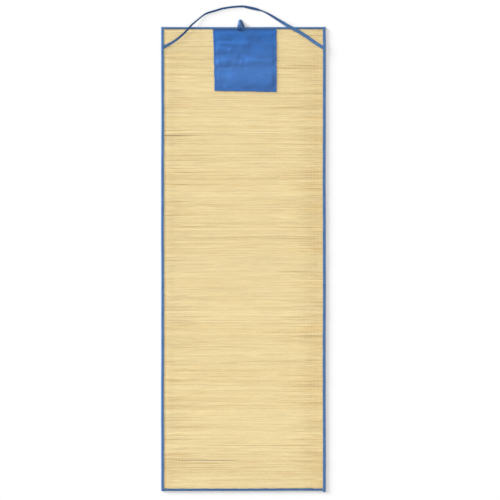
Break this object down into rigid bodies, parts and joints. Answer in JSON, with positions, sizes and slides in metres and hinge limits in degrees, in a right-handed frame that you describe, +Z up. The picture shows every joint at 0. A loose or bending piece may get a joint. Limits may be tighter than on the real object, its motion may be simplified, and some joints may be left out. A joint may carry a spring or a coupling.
{
  "type": "straw beach mat",
  "caption": "Long flat woven straw mat edged with folded cloth tape, with a square cloth panel, a small loop and a carry strap at its head end.",
  "frame": {"origin": "the middle of the mat's underside, on the floor", "axes": "+X across the mat, to the right in the picture; +Y along the mat towards the head end with the panel and the strap; +Z up from the floor"},
  "size_m": [0.6039, 1.7833, 0.0112],
  "materials": {
    "woven_straw": "dry split straw stems side by side, faintly glossy, warp threads lengthwise",
    "blue_tape": "matt woven tape",
    "blue_panel_cloth": "thin smooth cloth with a soft sheen"
  },
  "bodies": {
    "root": {"straw_mat": "woven_straw", "binding_left": "blue_tape", "binding_right": "blue_tape", "binding_top": "blue_tape", "binding_bottom": "blue_tape", "head_panel": "blue_panel_cloth", "carry_strap": "blue_tape", "closing_loop": "blue_tape"}
  },
  "joints": []
}
